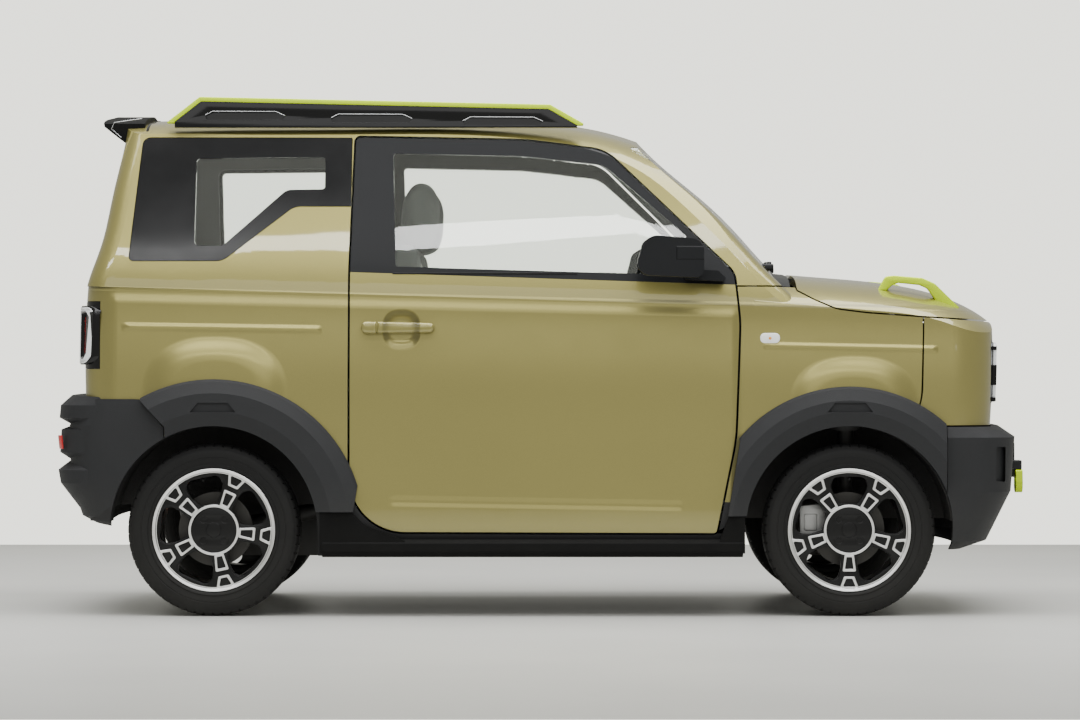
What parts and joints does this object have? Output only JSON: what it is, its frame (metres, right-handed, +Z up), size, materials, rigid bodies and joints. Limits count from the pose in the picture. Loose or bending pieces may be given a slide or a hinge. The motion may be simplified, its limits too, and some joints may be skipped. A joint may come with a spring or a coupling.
{
  "type": "electric microcar",
  "caption": "Small two-door electric car body on four wheels with opening doors, hood, tailgate and charge flap, steered front wheels and roof rails.",
  "frame": {"origin": "on the ground, below the centre of the overall box", "axes": "+X forward, +Y to the car's left, +Z up"},
  "size_m": [3.1358, 1.784, 1.6547],
  "materials": {
    "body_paint": "metallic gloss",
    "gloss_black": "gloss",
    "cladding": "fine grain",
    "window_glass": "clear",
    "lamp_lens": "clear",
    "tail_lens": "gloss",
    "accent": "satin",
    "tyre": "matte",
    "alloy": "painted satin",
    "chassis_metal": "coated",
    "underbody": "matte coat",
    "pack_case": "cast",
    "trim": "grained",
    "upholstery": "woven"
  },
  "bodies": {
    "chassis": {"body_shell": "body_paint", "floor_pan": "underbody", "front_wings": "body_paint", "nose_panel": "body_paint", "lamp_panel": "gloss_black", "head_lamps": "lamp_lens", "front_bumper": "cladding", "tow_hooks": "accent", "rear_bumper": "cladding", "wheel_flares": "cladding", "sill_covers": "cladding", "cowl": "trim", "fixed_glass": "window_glass", "quarter_panels": "gloss_black", "tail_lamps": "tail_lens", "roof_rails": "cladding", "seats": "upholstery", "dashboard": "trim", "battery_pack": "pack_case", "motor_block": "pack_case", "rear_axle": "chassis_metal", "front_subframe": "chassis_metal"},
    "door_right": {"door_right": "body_paint", "door_frame_right": "gloss_black", "door_glass_right": "window_glass"},
    "door_left": {"door_left": "body_paint", "door_frame_left": "gloss_black", "door_glass_left": "window_glass"},
    "hood": {"hood": "body_paint", "hood_handles": "accent"},
    "tailgate": {"tailgate": "body_paint", "tailgate_glass": "window_glass", "spoiler": "gloss_black"},
    "charge_flap": {"charge_flap": "gloss_black"},
    "steering_wheel": {"steering_wheel": "trim"},
    "knuckle_right": {"knuckle_right": "chassis_metal"},
    "knuckle_left": {"knuckle_left": "chassis_metal"},
    "wheel_front_right": {"tyre_front_right": "tyre", "rim_front_right": "alloy"},
    "wheel_front_left": {"tyre_front_left": "tyre", "rim_front_left": "alloy"},
    "wheel_rear_right": {"tyre_rear_right": "tyre", "rim_rear_right": "alloy"},
    "wheel_rear_left": {"tyre_rear_left": "tyre", "rim_rear_left": "alloy"}
  },
  "joints": [
    {"name": "door_right_swing", "type": "hinge", "parent": "chassis", "child": "door_right", "pos_m": [0.634, -0.753, 0.7], "axis": [0, 0, 1], "range_deg": [0, 66]},
    {"name": "door_left_swing", "type": "hinge", "parent": "chassis", "child": "door_left", "pos_m": [0.634, 0.753, 0.7], "axis": [0, 0, -1], "range_deg": [0, 66]},
    {"name": "hood_lift", "type": "hinge", "parent": "chassis", "child": "hood", "pos_m": [0.822, 0, 1.072], "axis": [0, -1, 0], "range_deg": [0, 55]},
    {"name": "tailgate_lift", "type": "hinge", "parent": "chassis", "child": "tailgate", "pos_m": [-1.268, 0, 1.59], "axis": [0, 1, 0], "range_deg": [0, 75]},
    {"name": "charge_flap_open", "type": "hinge", "parent": "chassis", "child": "charge_flap", "pos_m": [1.47, 0, 0.84], "axis": [0, -1, 0], "range_deg": [0, 85]},
    {"name": "steer_left", "type": "hinge", "parent": "chassis", "child": "knuckle_left", "pos_m": [0.978, 0.594, 0.185], "axis": [0, -0.0708, 0.9975], "range_deg": [-32, 32]},
    {"name": "steer_right", "type": "hinge", "parent": "chassis", "child": "knuckle_right", "pos_m": [0.978, -0.594, 0.185], "axis": [0, 0.0708, 0.9975], "range_deg": [-32, 32]},
    {"name": "steering_wheel_turn", "type": "hinge", "parent": "chassis", "child": "steering_wheel", "pos_m": [0.185, 0.33, 0.905], "axis": [-0.891, 0, 0.454], "range_deg": [-480, 480]},
    {"name": "wheel_front_right_spin", "type": "hinge", "parent": "knuckle_right", "child": "wheel_front_right", "pos_m": [0.978, -0.6575, 0.273], "axis": [0, 1, 0], "continuous": true},
    {"name": "wheel_front_left_spin", "type": "hinge", "parent": "knuckle_left", "child": "wheel_front_left", "pos_m": [0.978, 0.6575, 0.273], "axis": [0, 1, 0], "continuous": true},
    {"name": "wheel_rear_right_spin", "type": "hinge", "parent": "chassis", "child": "wheel_rear_right", "pos_m": [-1.037, -0.6575, 0.273], "axis": [0, 1, 0], "continuous": true},
    {"name": "wheel_rear_left_spin", "type": "hinge", "parent": "chassis", "child": "wheel_rear_left", "pos_m": [-1.037, 0.6575, 0.273], "axis": [0, 1, 0], "continuous": true}
  ],
  "couplings": [
    {"joint": "steer_right", "follows": "steer_left", "ratio": 1},
    {"joint": "steering_wheel_turn", "follows": "steer_left", "ratio": 15}
  ]
}
